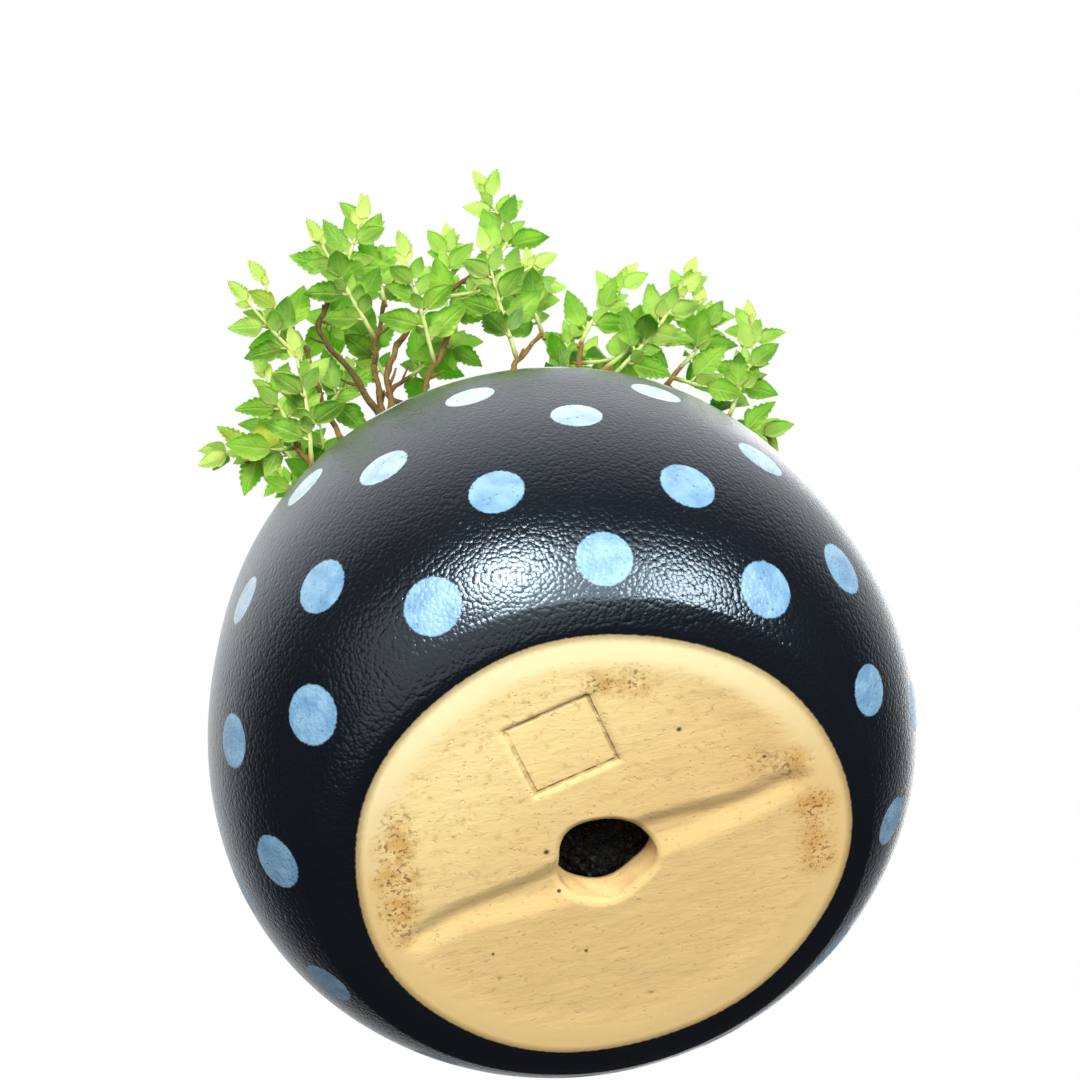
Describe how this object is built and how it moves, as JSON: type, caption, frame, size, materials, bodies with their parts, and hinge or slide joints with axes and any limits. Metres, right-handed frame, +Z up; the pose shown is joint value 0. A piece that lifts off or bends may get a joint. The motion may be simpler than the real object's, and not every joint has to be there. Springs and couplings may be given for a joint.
{
  "type": "japanese spirea bonsai in a pot",
  "caption": "Small shrub bonsai with a forking woody trunk and toothed leaves, planted in a round polka-dot glazed pot.",
  "frame": {"origin": "middle of the whole outline seen from above, on the ground that the pot stands on", "axes": "+Z up from the ground through the crown, -Y towards the side where the longest front limbs lean over the rim, +X to the right seen from that side"},
  "size_m": [0.1068, 0.1092, 0.1505],
  "materials": {
    "pot": "near-black gloss glaze with an orange-peel texture and pale blue-white dots, bare cream clay on the base",
    "soil": "dark damp potting soil with small grains",
    "bark": "thin brown bark, matt, flaking a little",
    "leaf": "fresh yellow-green leaf, satin above and duller below, lets light through"
  },
  "bodies": {
    "root": {"pot": "pot", "soil": "soil", "trunk": "bark", "leafy_shoot_01": "leaf", "leafy_shoot_02": "leaf", "leafy_shoot_03": "leaf", "leafy_shoot_04": "leaf", "leafy_shoot_05": "leaf", "leafy_shoot_06": "leaf", "leafy_shoot_07": "leaf", "leafy_shoot_08": "leaf", "leafy_shoot_09": "leaf", "leafy_shoot_10": "leaf", "leafy_shoot_11": "leaf", "leafy_shoot_12": "leaf", "leafy_shoot_13": "leaf", "leafy_shoot_14": "leaf", "leafy_shoot_15": "leaf", "leafy_shoot_16": "leaf", "leafy_shoot_17": "leaf", "leafy_shoot_18": "leaf", "leafy_shoot_19": "leaf", "leafy_shoot_20": "leaf", "leafy_shoot_21": "leaf", "leafy_shoot_22": "leaf", "leafy_shoot_23": "leaf", "leafy_shoot_24": "leaf", "leafy_shoot_25": "leaf", "leafy_shoot_26": "leaf", "leafy_shoot_27": "leaf", "leafy_shoot_28": "leaf", "leafy_shoot_29": "leaf", "leafy_shoot_30": "leaf", "leafy_shoot_31": "leaf", "leafy_shoot_32": "leaf", "leafy_shoot_33": "leaf", "leafy_shoot_34": "leaf", "leafy_shoot_35": "leaf", "leafy_shoot_36": "leaf", "leafy_shoot_37": "leaf", "leafy_shoot_38": "leaf", "leafy_shoot_39": "leaf", "leafy_shoot_40": "leaf", "leafy_shoot_41": "leaf", "leafy_shoot_42": "leaf", "leafy_shoot_43": "leaf", "leafy_shoot_44": "leaf", "leafy_shoot_45": "leaf", "leafy_shoot_46": "leaf", "leafy_shoot_47": "leaf", "leafy_shoot_48": "leaf", "leafy_shoot_49": "leaf", "leafy_shoot_50": "leaf", "leafy_shoot_51": "leaf", "leafy_shoot_52": "leaf", "leafy_shoot_53": "leaf", "leafy_shoot_54": "leaf", "leafy_shoot_55": "leaf", "leafy_shoot_56": "leaf", "leafy_shoot_57": "leaf"}
  },
  "joints": []
}
